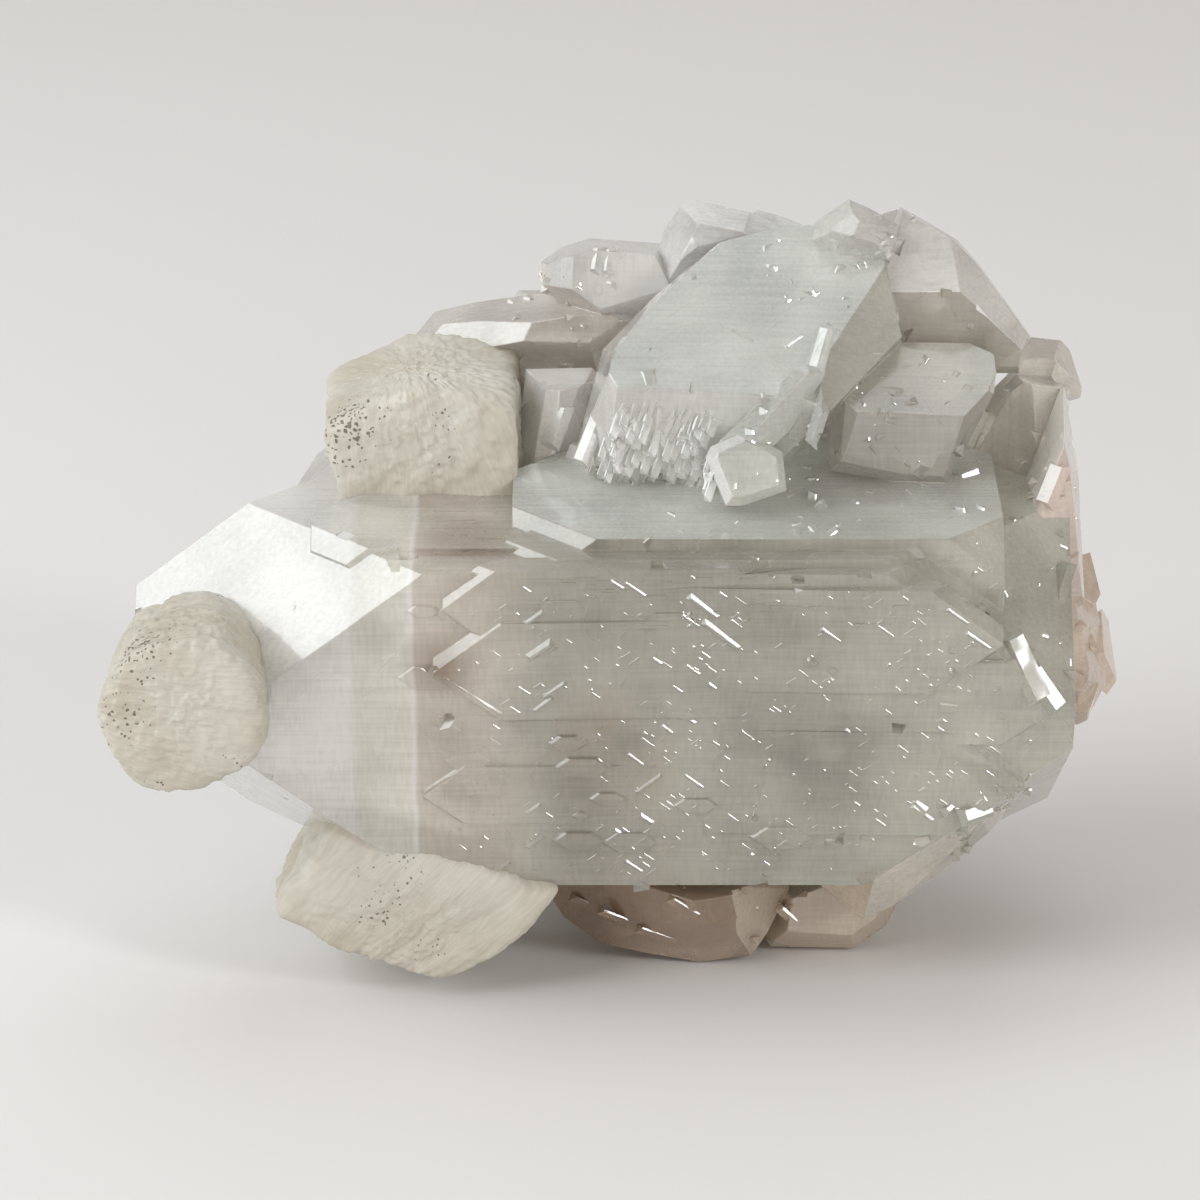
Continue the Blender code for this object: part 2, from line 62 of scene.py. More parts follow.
# The apophyllite cluster: clear, faintly green-grey crystals that grew through one another as one mass.
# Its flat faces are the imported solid's. Low hillocks with sides parallel to the long crystal's pyramid
# faces, fine ribs and small chips stand on them or are broken out of their edges.
MM = 0.001
SHIFT = np.array([-1.841, -5.189, 0.0])
ROLL = math.radians(10.0)
SHOWN = np.array([0.0, -math.cos(ROLL), -math.sin(ROLL)])
UPPER = np.array([0.0, -math.sin(ROLL), math.cos(ROLL)])
ALONG = np.array([1.0, 0.0, 0.0])
PRISM_EDGE = np.array([0.0, -15.0, 34.9]) + SHIFT
PYRAMID_TRACE = 0.803
PYRAMID_SIDE = 0.78
LOOK_DOWN = math.radians(20.0)
LOOK_UP = np.array([0.0, math.sin(LOOK_DOWN), math.cos(LOOK_DOWN)])
LOOK_AWAY = np.array([0.0, math.cos(LOOK_DOWN), -math.sin(LOOK_DOWN)])
MIDDLE = np.array([0.0, 0.0, 27.5]) + SHIFT
chance = np.random.default_rng(7)


def on_prism(along, back, rise):
    """Points by their place on the long crystal: along it, back from its upper front edge, and above it."""
    return PRISM_EDGE + np.outer(along, ALONG) - np.outer(back, SHOWN) + np.outer(rise, UPPER)


def looked_at(across, up, away):
    """Points by their place as the specimen is looked at: across and up from its middle, and away."""
    return MIDDLE + np.outer(across, ALONG) + np.outer(up, LOOK_UP) + np.outer(away, LOOK_AWAY)


def unit(vectors):
    """The same directions, each of length one."""
    return vectors / np.maximum(np.linalg.norm(vectors, axis=-1, keepdims=True), 1e-12)


def raised_bars(centre, run, normal, length, width, rise, lean=PYRAMID_SIDE, sunk=0.12):
    """Low bars with sloping sides. Each foot is a rectangle, length by width, in the plane of its face. Its
    sides lean in by lean for each unit of height, from sunk below the face to rise above it."""
    normal = unit(np.broadcast_to(normal, centre.shape))
    run = unit(run - normal * (run * normal).sum(axis=1, keepdims=True))
    across = np.cross(normal, run)
    signs = np.array([[-1, -1], [1, -1], [1, 1], [-1, 1]], float)
    rings = []
    for height in (np.broadcast_to(-sunk, rise.shape), rise):
        half_length = np.maximum(length / 2 - lean * height, 0.01)
        half_width = np.maximum(width / 2 - lean * height, 0.01)
        rings.append(
            centre[:, None]
            + signs[None, :, :1] * (half_length[:, None] * run)[:, None]
            + signs[None, :, 1:] * (half_width[:, None] * across)[:, None]
            + (height[:, None] * normal)[:, None]
        )
    return np.concatenate(rings, axis=1)


def mesh_piece(name, points, faces):
    """A mesh object from points in millimetres and faces as rows of point numbers."""
    mesh = bpy.data.meshes.new(name)
    mesh.from_pydata((points * MM).tolist(), [], faces)
    mesh.update()
    made = bpy.data.objects.new(name, mesh)
    bpy.context.scene.collection.objects.link(made)
    return made


def sorted_apart(bars, gap=0.03):
    """Groups of bars whose boxes keep a gap between them: each bar goes to the first group that it clears."""
    low, high = bars.min(axis=1) - gap, bars.max(axis=1) + gap
    groups = []
    for index in range(len(bars)):
        for group in groups:
            if ((low[group] > high[index]) | (high[group] < low[index])).any(axis=1).all():
                group.append(index)
                break
        else:
            groups.append([index])
    return groups


def applied(piece, kind, **settings):
    """Puts one modifier on a piece and keeps its result as the piece's mesh."""
    step = piece.modifiers.new(kind.lower(), kind)
    for name, value in settings.items():
        setattr(step, name, value)
    graph = bpy.context.evaluated_depsgraph_get()
    result = bpy.data.meshes.new_from_object(piece.evaluated_get(graph))
    piece.modifiers.clear()
    old = piece.data
    piece.data = result
    bpy.data.meshes.remove(old)


def skin_of(piece):
    """A search tree over a piece's faces."""
    corners = [corner.co for corner in piece.data.vertices]
    return BVHTree.FromPolygons(corners, [face.vertices[:] for face in piece.data.polygons])


def onto(piece, points, outward, reach):
    """Points carried onto a piece, straight in from a reach outside them, and which of them meet it."""
    skin, outward = skin_of(piece), np.broadcast_to(outward, points.shape)
    starts = points + reach * outward
    found = [skin.ray_cast(Vector(start * MM), Vector(-way))[0] for start, way in zip(starts, outward)]
    met = np.array([place is not None for place in found])
    return np.array([place or (0, 0, 0) for place in found]) / MM, met


def buried(piece, bars):
    """The bars whose four lower corners are all inside a piece, so that no end hangs past its face."""
    skin = skin_of(piece)

    def inside(point):
        place, normal, _, _ = skin.find_nearest(Vector(point * MM))
        return (Vector(point * MM) - place).dot(normal) < 0

    return bars[[all(inside(point) for point in bar[:4]) for bar in bars]]


BAR_FACES = np.array(
    [[3, 2, 1, 0], [4, 5, 6, 7], [0, 1, 5, 4], [1, 2, 6, 5], [2, 3, 7, 6], [3, 0, 4, 7]]
)


def fuse_bars(piece, bars, operation="UNION"):
    """Joins bars to a piece, or cuts them from it, one group of separate bars at a time."""
    for group in sorted_apart(bars):
        first = np.arange(len(group)) * 8
        faces = (BAR_FACES[None] + first[:, None, None]).reshape(-1, 4).tolist()
        helper = mesh_piece("bars", bars[group].reshape(-1, 3), faces)
        applied(piece, "BOOLEAN", operation=operation, solver="MANIFOLD", object=helper)
        bpy.data.objects.remove(helper)


# The solid's own faces, with the sharper edges between them softened by narrow flats.
FLAT_ANGLE, SOFTENED_ANGLE, CHIPPED_ANGLE = math.radians(0.2), math.radians(12), 0.35
SOFTENED_WIDTH = 0.05
crystals = bpy.data.objects.new("apophyllite_crystals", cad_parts["apophyllite_cluster"].data.copy())
bpy.context.scene.collection.objects.link(crystals)
bm = bmesh.new()
bm.from_mesh(crystals.data)
bmesh.ops.remove_doubles(bm, verts=bm.verts, dist=1e-6)
bmesh.ops.dissolve_limit(bm, angle_limit=FLAT_ANGLE, verts=bm.verts, edges=bm.edges)
sharp = [edge for edge in bm.edges if edge.is_convex and edge.calc_face_angle(0.0) > CHIPPED_ANGLE]
EDGE_ENDS = np.array([[corner.co for corner in edge.verts] for edge in sharp]) / MM
EDGE_OUT = unit(np.array([edge.link_faces[0].normal + edge.link_faces[1].normal for edge in sharp]))
bm.to_mesh(crystals.data)
bm.free()
plain = bpy.data.objects.new("plain_faces", crystals.data.copy())
applied(
    crystals, "BEVEL", width=SOFTENED_WIDTH * MM, segments=1, limit_method="ANGLE",
    angle_limit=SOFTENED_ANGLE, use_clamp_overlap=False,
)

# Chips out of the sharp edges: each is a bar cut away, its floor a little below the edge.
CHIPS = 170
span = np.linalg.norm(EDGE_ENDS[:, 1] - EDGE_ENDS[:, 0], axis=1)
pick = chance.choice(len(span), CHIPS, p=span / span.sum())
share = chance.uniform(0.1, 0.9, (CHIPS, 1))
spots = EDGE_ENDS[pick, 0] * share + EDGE_ENDS[pick, 1] * (1 - share)
run = unit(EDGE_ENDS[pick, 1] - EDGE_ENDS[pick, 0]) + chance.normal(0, 0.22, (CHIPS, 3))
fuse_bars(
    crystals,
    raised_bars(
        spots, run, unit(EDGE_OUT[pick] + chance.normal(0, 0.2, (CHIPS, 3))),
        chance.uniform(0.3, 1.5, CHIPS), np.full(CHIPS, 1.6), np.full(CHIPS, 0.6), lean=-0.3,
        sunk=chance.uniform(0.04, 0.2, CHIPS),
    ),
    "DIFFERENCE",
)

# The larger hillocks of the shown face: place along it and down it, length, and height. The first ones
# fall to the right, parallel to the right pyramid, and the others rise, parallel to the left one.
FALLING = np.array([
    (1.2, 0.7, 1.0, 0.0825), (2.5, 1.1, 1.7, 0.0825), (7.4, 2.6, 2.4, 0.187), (6.5, 3.7, 1.4, 0.0825),
    (8.7, 4.9, 3.1, 0.187), (4.5, 2.6, 0.7, 0.0825), (4.1, 7.0, 0.7, 0.099), (6.7, 7.8, 1.1, 0.0825),
    (8.1, 9.2, 0.6, 0.099), (5.6, 9.4, 0.8, 0.0605), (4.9, 13.0, 0.9, 0.0825), (2.6, 15.6, 1.3, 0.0825),
    (6.9, 17.5, 1.6, 0.0825), (5.2, 19.5, 0.8, 0.0605), (3.4, 20.8, 1.0, 0.1595), (2.5, 25.0, 1.4, 0.099),
    (16.6, 4.8, 1.6, 0.0825), (20.5, 4.4, 1.4, 0.0605), (25.6, 3.1, 1.8, 0.0825), (27.2, 5.1, 2.0, 0.099),
    (23.8, 20.1, 1.8, 0.143), (-4.5, 16.6, 0.8, 0.0605), (-9.6, 9.0, 5.9, 0.066), (-9.3, 9.6, 5.2, 0.055),
    (-10.2, 3.3, 3.0, 0.033),
])
RISING = np.array([
    (-3.3, 9.3, 1.8, 0.15), (-4.1, 10.5, 1.5, 0.18), (-4.9, 3.5, 2.0, 0.18), (-4.3, 5.9, 1.8, 0.33),
    (-4.9, 19.8, 1.2, 0.15), (-4.8, 22.8, 1.4, 0.15), (-7.2, 25.0, 1.1, 0.15), (3.6, 17.7, 2.2, 0.15),
    (-9.9, 11.3, 1.7, 0.11), (-10.6, 15.3, 1.3, 0.11), (-11.0, 17.1, 3.1, 0.4), (-13.0, 25.1, 0.9, 0.15),
    (-9.2, 1.3, 4.4, 0.55), (-10.3, 6.2, 4.4, 0.42),
])
# The small ones are scattered over the same face, two in five of them in knots. Most of those in the right
# part fall too.
SMALL_HILLOCKS, KNOTS = 430, 34
spots = chance.uniform((-12.0, 0.8), (29.0, 25.8), (SMALL_HILLOCKS, 2))
knots = chance.uniform((-8.0, 2.0), (26.0, 24.0), (KNOTS, 2))
near = chance.integers(0, KNOTS, SMALL_HILLOCKS)
in_knot = chance.random((SMALL_HILLOCKS, 1)) < 0.4
spots = np.where(in_knot, knots[near] + chance.normal(0, 1.5, spots.shape), spots)
small = np.column_stack([
    spots, 0.12 + 0.9 * chance.random(SMALL_HILLOCKS) ** 2.5, chance.uniform(0.02, 0.065, SMALL_HILLOCKS)
])
falls = chance.random(SMALL_HILLOCKS) < 0.3 + 0.4 * (spots[:, 0] > 0)
hillocks = np.concatenate([FALLING, small[falls], RISING, small[~falls]])
tilt = np.where(np.arange(len(hillocks)) < len(FALLING) + falls.sum(), 1.0, -1.0)
tilt = tilt * PYRAMID_TRACE * chance.uniform(0.92, 1.08, len(hillocks))
lean = np.where(tilt > 0, 1.05, PYRAMID_SIDE)
fuse_bars(crystals, buried(crystals, raised_bars(
    onto(crystals, on_prism(hillocks[:, 0], 0 * tilt, -hillocks[:, 1]), SHOWN, 2.0)[0],
    ALONG - np.outer(tilt, UPPER),
    SHOWN,
    hillocks[:, 2] + 2 * lean * hillocks[:, 3],
    (2 * lean + 0.5) * hillocks[:, 3] + 0.06,
    hillocks[:, 3],
    lean,
)))

# Level ribs along the long crystal: some below its upper front edge, closest together near it, and the
# others on the top behind that edge.
LEVEL_RIBS, BELOW_EDGE = 130, 75
down = np.where(np.arange(LEVEL_RIBS) < BELOW_EDGE, 4.5 * chance.random(LEVEL_RIBS) ** 1.6, 0.0)
back = np.where(down > 0, 0.0, chance.uniform(0.3, 9.5, LEVEL_RIBS))
outward = np.where(down[:, None] > 0, SHOWN, UPPER)
fuse_bars(crystals, buried(crystals, raised_bars(
    onto(crystals, on_prism(chance.uniform(-11.0, 27.0, LEVEL_RIBS), back, -down), outward, 1.2)[0],
    ALONG + chance.normal(0, 0.02, (LEVEL_RIBS, 3)),
    outward,
    chance.uniform(0.5, 3.6, LEVEL_RIBS), chance.uniform(0.12, 0.3, LEVEL_RIBS),
    chance.uniform(0.015, 0.045, LEVEL_RIBS),
)))


def seen_on(across, up, through, normal):
    """Points on a plane, by their place as looked at: each lies straight behind (across, up, 0)."""
    start, normal = looked_at(across, up, 0 * up), np.array(normal)
    reach = (looked_at(*np.array([through]).T) - start) @ normal / (LOOK_AWAY @ normal)
    return start + np.outer(reach, LOOK_AWAY)


def broad_front(count):
    """Random places on the broad crystal's front, across and up as looked at. The front is a slanting strip:
    its foot falls and its height grows towards the right, and its sides lean to the right."""
    side, height = chance.random((2, count))
    return -1.0 + side * 9.0 + height * (2.2 - 2.0 * side), 9.7 - 1.2 * side + height * (3.9 + 1.0 * side)


# The broad crystal's front is ribbed from top to bottom, and the ribs lean to the right.
FRONT_RIBS = 150
ON_FRONT, FRONT_NORMAL = (0.4, 15.5, -12.6), (-0.05, -0.955, -0.29)
fuse_bars(crystals, buried(crystals, raised_bars(
    seen_on(*broad_front(FRONT_RIBS), ON_FRONT, FRONT_NORMAL),
    0.30 * ALONG + 0.95 * LOOK_UP + chance.normal(0, 0.05, (FRONT_RIBS, 3)),
    np.array(FRONT_NORMAL),
    0.7 + 2.8 * chance.random(FRONT_RIBS) ** 1.5, chance.uniform(0.25, 0.55, FRONT_RIBS),
    chance.uniform(0.08, 0.24, FRONT_RIBS), lean=0.7, sunk=0.1,
)))

# A few larger broken or grown patches that catch a light: where they are as looked at, which way they run
# across and up, their length and width, and 1 where they shine with the side light or -1 the window light.
# Each faces halfway between that light and the viewer.
WINDOW_LIGHT, SIDE_LIGHT = (-0.55, -0.17, 0.37), (0.58, -0.38, 0.31)
PATCHES = np.array([
    (31.0, -4.9, 0.45, -0.9, 5.0, 1.5, 1), (27.9, -15.6, 0.9, 0.3, 2.4, 0.9, 1),
    (23.7, -15.1, 0.8, -0.6, 1.2, 0.5, 1), (25.9, -15.2, 0.8, 0.6, 1.0, 0.4, 1),
    (15.8, 18.2, 0.25, 1.0, 3.0, 0.8, -1), (27.3, 9.2, 0.9, 0.3, 1.6, 0.7, 1),
    (-0.4, 25.6, 0.1, 1.0, 1.7, 0.45, -1), (0.5, 25.5, 0.1, 1.0, 1.7, 0.3, -1),
    (-0.5, 13.0, 0.35, 0.95, 6.0, 0.9, -1), (33.6, 1.5, 0.3, 1.0, 2.4, 1.1, -1),
    (33.0, 8.5, 0.4, 1.0, 3.0, 1.2, -1), (34.8, -6.0, 0.6, 0.8, 1.8, 1.0, 1),
    (32.4, -6.4, 0.62, -0.78, 3.4, 1.2, 1), (2.0, -24.2, 1.0, -0.3, 4.0, 0.22, 1),
    (4.5, -25.3, 1.0, -0.22, 3.0, 0.2, 1), (6.5, -23.0, 1.0, -0.5, 2.4, 0.2, 1),
    (-1.0, -23.0, 1.0, -0.35, 2.0, 0.16, 1), (14.5, -24.0, 0.8, -0.6, 1.6, 0.3, 1),
    (21.0, 15.3, 1.0, -0.3, 1.5, 0.4, -1), (-3.4, 13.0, 0.3, 1.0, 3.0, 1.2, -1),
    (-2.2, 10.6, 0.4, 1.0, 2.0, 0.9, -1),
])
# Thin bright lines between the ribs of the broad crystal's front, and sparks on the rough crystals.
# Each spark place is across and up as looked at, with the reach of its sparks.
LINES, SPARKS = 115, 190
lines = np.column_stack([
    *broad_front(LINES), np.full(LINES, 0.3), np.full(LINES, 0.95),
    chance.uniform(0.7, 3.0, LINES), chance.uniform(0.08, 0.22, LINES), -np.ones(LINES),
])
SPARK_PLACES = np.array([
    (14.7, 23.0, 3.5), (20.0, 26.0, 2.5), (13.0, 11.0, 5.0), (33.5, 8.0, 3.0), (35.0, -4.0, 3.5),
    (26.0, 1.0, 6.0), (10.0, -19.5, 9.0), (22.0, 15.0, 4.0), (-2.0, 22.0, 4.0), (12.0, 5.0, 10.0),
    (28.0, -14.0, 4.0),
])
round_place = SPARK_PLACES[chance.integers(0, len(SPARK_PLACES), SPARKS)]
slope = chance.normal(0, 1, (SPARKS, 2))
sparks = np.column_stack([
    round_place[:, :2] + chance.normal(0, 0.6, (SPARKS, 2)) * round_place[:, 2:], slope + (0.5, 0),
    0.15 + 0.9 * chance.random(SPARKS) ** 3, chance.uniform(0.1, 0.3, SPARKS),
    chance.choice((-1, 1), SPARKS),
])
patches = np.concatenate([PATCHES, lines, sparks])
found, met = onto(crystals, looked_at(*patches[:, :2].T, np.zeros(len(patches))), -LOOK_AWAY, 60.0)
found, patches = found[met], patches[met]
VIEW_DISTANCE = 300.0
VIEWED_FROM = MIDDLE - VIEW_DISTANCE * LOOK_AWAY
LIT_FROM = np.array([WINDOW_LIGHT, SIDE_LIGHT])[(patches[:, 6] > 0).astype(int)] / MM
glint = unit(unit(VIEWED_FROM - found) + unit(LIT_FROM - found))
fuse_bars(crystals, raised_bars(
    found, np.outer(patches[:, 2], ALONG) + np.outer(patches[:, 3], LOOK_UP),
    glint + chance.normal(0, 0.02, glint.shape),
    patches[:, 4], patches[:, 5], 0.04 + 0.12 * patches[:, 5], lean=0.5, sunk=0.5,
))

# Small growths and splinters over every face, thickest on the rough crystals of the upper and right side.
# There are none on faces smaller than SLIVER, in square millimetres, nor less than LOWEST above the floor.
GROWTHS = 560
SLIVER, LOWEST = 0.02, 1.0
crystals.data.calc_loop_triangles()
triangles = np.empty((len(crystals.data.loop_triangles), 3), int)
crystals.data.loop_triangles.foreach_get("vertices", triangles.ravel())
points = np.empty((len(crystals.data.vertices), 3))
crystals.data.vertices.foreach_get("co", points.ravel())
corners = points[triangles] / MM
outward = np.cross(corners[:, 1] - corners[:, 0], corners[:, 2] - corners[:, 0])
area = np.linalg.norm(outward, axis=1) / 2
middle = corners.mean(axis=1)
ROUGH = looked_at(*np.array([
    (15, 22, -10), (19, 25, -8), (11, 12, -13), (22, 11, -11), (33, 8, 0), (34, -4, 0), (27, -12, -8),
    (12, 27, -4), (29, 17, -6), (10, 5, -12),
]).T)
near = np.exp(-(np.linalg.norm(middle[:, None] - ROUGH[None], axis=2) / 4.5) ** 2).sum(axis=1)
weight = area * (0.25 + 1.6 * near) * (area > SLIVER) * (middle[:, 2] > LOWEST)
pick = chance.choice(len(weight), GROWTHS, p=weight / weight.sum())
mix = chance.dirichlet((1.3, 1.3, 1.3), GROWTHS)
growths = raised_bars(
    (corners[pick] * mix[:, :, None]).sum(axis=1),
    chance.normal(0, 1, (GROWTHS, 3)) + 0.8 * ALONG,
    unit(unit(outward[pick]) + chance.normal(0, 0.12, (GROWTHS, 3))),
    0.4 + 1.8 * chance.random(GROWTHS) ** 2, chance.uniform(0.25, 1.0, GROWTHS),
    chance.uniform(0.02, 0.08, GROWTHS), lean=1.8, sunk=0.06,
)
low, high = np.array(solid_box) / MM
inside = ((growths > low + 0.02) & (growths < high - 0.02)).all(axis=(1, 2))
fuse_bars(crystals, buried(crystals, growths[inside]))

# Gaps that the bars closed in between them are dropped, so that one shell is left.
bm = bmesh.new()
bm.from_mesh(crystals.data)
unseen, shells = set(bm.verts), []
while unseen:
    shell, reached = set(), [unseen.pop()]
    while reached:
        corner = reached.pop()
        shell.add(corner)
        reached.extend({edge.other_vert(corner) for edge in corner.link_edges} - shell)
    unseen -= shell
    shells.append(shell)
largest = max(shells, key=len)
bmesh.ops.delete(bm, geom=[corner for corner in bm.verts if corner not in largest], context="VERTS")
bm.to_mesh(crystals.data)
bm.free()

# Each face's tint is that of the crystal it belongs to, which is the nearest of these places as looked at,
# each with its red, green and blue. What stands on a face takes the tint of the solid's own face below it.
# The tints are partly the crystals' own colours and partly painted light: the brown of the low crystals under
# the long one is partly painted warm shade and a painted reflection of the shadowed floor, and the palest
# tints are lightened to stand for light shining through thin crystals.
TINTS = np.array([
    (13, 21, -9, 0.8, 0.83, 0.79), (7.2, 12, -10.2, 0.99, 1, 0.98), (19, 26.5, -6, 0.94, 0.94, 0.9),
    (11, 8.8, -8.5, 0.76, 0.78, 0.74), (12.5, 14, -13, 0.76, 0.78, 0.74), (22, 12.5, -11, 0.56, 0.54, 0.5),
    (22, 16.5, -9, 0.66, 0.65, 0.59), (23.9, 25.4, -6, 0.96, 0.94, 0.92), (24.3, 20, -6, 0.6, 0.55, 0.49),
    (-2.9, 20.6, 0, 0.9, 0.84, 0.79), (-11, 21, 2, 0.9, 0.87, 0.82), (0, 24.6, -1, 0.99, 0.98, 0.96),
    (8.1, 27.6, -3, 0.99, 0.98, 0.97), (-2.9, 12.5, -4, 1, 0.99, 0.97), (30.9, 12.5, -3, 1, 0.96, 0.9),
    (33.1, 5.9, -1, 0.88, 0.74, 0.66), (34.9, -2.9, 0, 0.96, 0.79, 0.66), (22, -19.1, -8, 0.86, 0.82, 0.74),
    # The first two here are the low crystals under the long one: their brown is partly their own colour and
    # partly painted warm shade and reflected floor shadow.
    (3.7, -23.5, -4, 0.46, 0.33, 0.23), (16.9, -23.9, -4, 0.78, 0.65, 0.51), (-10, 15, 18, 0.88, 0.87, 0.81),
    (12, 12, 22, 0.76, 0.78, 0.7), (26, 2, 18, 0.84, 0.76, 0.68), (0, 0, 26, 0.8, 0.82, 0.75),
    (-14, -4, 20, 0.88, 0.87, 0.82), (20, 20, 12, 0.82, 0.8, 0.73), (30, 14, 8, 0.78, 0.73, 0.65),
    (6, 5, -12, 0.93, 0.93, 0.87), (20, 5, -12, 0.6, 0.58, 0.52), (33, -6, -8, 0.7, 0.7, 0.62),
])
# The long crystal's faces are those in its own box that are parallel to its prism, its ends or its pyramids,
# or lie on its front. Their fourth number is 1, and the zones across the crystal colour them instead.
NEAR, FAR, HALF_LENGTH = 1.2, 27.5, 35
FAMILY = unit(np.array(
    [sign * axis for sign in (1, -1) for axis in (SHOWN, UPPER, ALONG)]
    + [
        a * 0.494 * ALONG + 0.615 * (b * SHOWN + c * UPPER)
        for a in (1, -1) for b in (1, -1) for c in (1, -1)
    ]
))
count = len(plain.data.polygons)
centre, normal = np.empty((count, 3)), np.empty((count, 3))
plain.data.polygons.foreach_get("center", centre.ravel())
plain.data.polygons.foreach_get("normal", normal.ravel())
centre = centre / MM
local = centre - PRISM_EDGE
along, back, rise = local @ ALONG, -local @ SHOWN, local @ UPPER
parallel = (normal @ FAMILY.T).max(axis=1) > 0.97
in_box = (back > -NEAR) & (back < FAR) & (rise > -FAR) & (rise < NEAR) & (abs(along) < HALF_LENGTH)
of_long = in_box & (parallel | (abs(back) < 0.5))
places = looked_at(*TINTS[:, :3].T)
nearest = np.linalg.norm(centre[:, None] - places[None], axis=2).argmin(axis=1)
plain_tint = np.column_stack([TINTS[nearest, 3:], of_long])
skin = skin_of(plain)
below = [skin.find_nearest(face.center)[2] for face in crystals.data.polygons]
tint = crystals.data.attributes.new("tint", "FLOAT_COLOR", "FACE")
tint.data.foreach_set("color", plain_tint[below].ravel())
bpy.data.objects.remove(plain)


def node(tree, kind, inputs, **settings):
    """The outputs of a new shader node, after its settings are made and its inputs set or joined."""
    made = tree.nodes.new("ShaderNode" + kind)
    for name, value in settings.items():
        setattr(made, name, value)
    for name, value in inputs.items():
        if isinstance(value, bpy.types.NodeSocket):
            tree.links.new(value, made.inputs[name])
        else:
            made.inputs[name].default_value = value
    return made.outputs


def grain(tree, scale, detail=3.0):
    """Noise on the piece's own coordinates, with its scale along each axis given per metre."""
    place = node(tree, "TexCoord", {})["Object"]
    stretched = node(tree, "VectorMath", {0: place, 1: scale}, operation="MULTIPLY")["Vector"]
    return node(tree, "TexNoise", {"Vector": stretched, "Scale": 1.0, "Detail": detail})["Fac"]


def spread(tree, value, low, high, to_low, to_high):
    """A value carried from one range to another, and held within it."""
    return node(
        tree, "MapRange",
        {"Value": value, "From Min": low, "From Max": high, "To Min": to_low, "To Max": to_high},
    )["Result"]


def ramp(tree, value, stops):
    """A colour from a value, through (place, colour) stops."""
    made = tree.nodes.new("ShaderNodeValToRGB")
    tree.links.new(value, made.inputs["Fac"])
    for _ in stops[2:]:
        made.color_ramp.elements.new(0.5)
    for element, (place, colour) in zip(made.color_ramp.elements, stops):
        element.position = place
        element.color = (*colour, 1.0)
    return made.outputs["Color"]


def times(tree, *values):
    """The product of two or more numbers."""
    product = values[0]
    for value in values[1:]:
        product = node(tree, "Math", {0: product, 1: value}, operation="MULTIPLY")["Value"]
    return product


clear = bpy.data.materials.new("apophyllite_clear")
clear.use_nodes = True
tree = clear.node_tree
shader = tree.nodes["Principled BSDF"]
attribute = node(tree, "Attribute", {}, attribute_name="tint")
across = node(tree, "SeparateXYZ", {"Vector": node(tree, "TexCoord", {})["Object"]})["X"]
drift = grain(tree, (85, 85, 85), 2.0)
across = node(
    tree, "Math", {0: across, 1: spread(tree, drift, 0.2, 0.8, -0.3 * MM, 0.3 * MM)}, operation="ADD"
)["Value"]
# The long crystal's colour zones along its length, whitish at the left through a rose band to green at the
# right. The whitish left end is partly its own milky colour and partly painted light, for the window light
# shining through it from the left.
WHITISH, PALE, ROSE = (0.97, 0.96, 0.94), (0.84, 0.83, 0.76), (0.70, 0.63, 0.56)
GREY, GREEN, LIGHT_GREEN = (0.49, 0.46, 0.40), (0.49, 0.48, 0.42), (0.65, 0.65, 0.57)
ZONE_REACH = 40.0
zones = ramp(tree, spread(tree, across, -ZONE_REACH * MM, ZONE_REACH * MM, 0.0, 1.0), [
    ((x + ZONE_REACH) / (2 * ZONE_REACH), colour) for x, colour in (
        (-26.0, WHITISH), (-19.8, WHITISH), (-19.6, PALE), (-15.5, PALE), (-15.3, WHITISH), (-15.1, ROSE),
        (-10.0, ROSE), (-5.2, GREEN), (-4.9, GREY), (3.0, GREY), (8.0, GREEN), (16.0, GREEN),
        (26.0, LIGHT_GREEN),
    )
])
body = node(
    tree, "MixRGB", {"Fac": attribute["Alpha"], "Color1": attribute["Color"], "Color2": zones}
)["Color"]
# Brown stains: each one's place in the frame, and its size.
STAINS = (
    (-13.3, -20.5, 27.5, 2.8), (-11.5, -15.5, 34.9, 3.2), (-1.5, -21.0, 19.5, 5.5), (17.0, -21.5, 13.5, 3.0),
)
STAIN_BROWN = (0.29, 0.21, 0.15, 1.0)
wisps = grain(tree, (170, 170, 170), 1.0)
for x, y, z, size in STAINS:
    apart = node(
        tree, "VectorMath", {0: node(tree, "TexCoord", {})["Object"], 1: (x * MM, y * MM, z * MM)},
        operation="DISTANCE",
    )["Value"]
    amount = times(
        tree, spread(tree, apart, 0.3 * size * MM, 1.3 * size * MM, 1.0, 0.0),
        spread(tree, wisps, 0.35, 0.6, 0.3, 1.0),
    )
    body = node(tree, "MixRGB", {"Fac": amount, "Color1": body, "Color2": STAIN_BROWN})["Color"]
clouds = spread(tree, drift, 0.3, 0.7, 0.84, 1.14)
veils = spread(tree, wisps, 0.3, 0.7, 0.93, 1.06)
level_brush = spread(tree, grain(tree, (160, 4500, 4500), 0.0), 0.2, 0.8, 0.91, 1.06)
upright_brush = spread(tree, grain(tree, (4000, 4000, 120), 0.0), 0.2, 0.8, 0.92, 1.05)
tone = times(tree, clouds, veils, level_brush, upright_brush)
body = node(tree, "VectorMath", {0: body, "Scale": tone}, operation="SCALE")["Vector"]
tree.links.new(body, shader.inputs["Base Color"])
tree.links.new(spread(tree, wisps, 0.3, 0.7, 0.14, 0.4), shader.inputs["Roughness"])
relief = grain(tree, (560, 560, 560), 0.0)
bump = node(tree, "Bump", {"Height": relief, "Strength": 0.35, "Distance": 0.08 * MM})["Normal"]
tree.links.new(bump, shader.inputs["Normal"])
tree.links.new(bump, shader.inputs["Coat Normal"])
APOPHYLLITE_IOR = 1.535
shader.inputs["IOR"].default_value = APOPHYLLITE_IOR
shader.inputs["Transmission Weight"].default_value = 0.5
shader.inputs["Coat Weight"].default_value = 1.0
